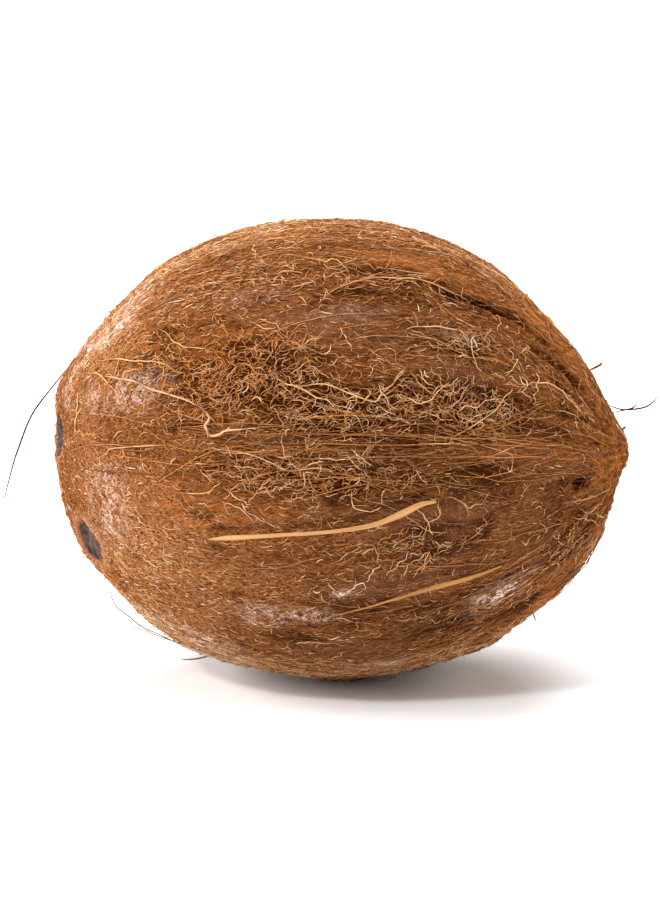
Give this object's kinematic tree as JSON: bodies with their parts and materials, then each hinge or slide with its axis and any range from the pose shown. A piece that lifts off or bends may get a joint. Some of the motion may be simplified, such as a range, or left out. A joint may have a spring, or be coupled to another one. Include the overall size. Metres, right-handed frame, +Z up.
{
  "type": "coconut",
  "caption": "Whole mature coconut, husked and dry, lying on its side, with germ pores at the blunt end and a fibrous brown shell.",
  "frame": {"origin": "on the resting surface, under the centre of the nut's box; the flat spot that it rests on lies at z = 0 around it", "axes": "+X along the nut towards its sharp end, -X towards the end with the three germ pores, +Z up"},
  "size_m": [0.125, 0.1024, 0.1015],
  "materials": {
    "fibrous_shell": "rough, matted brown husk fibre"
  },
  "bodies": {
    "root": {"coconut": "fibrous_shell"}
  },
  "joints": []
}
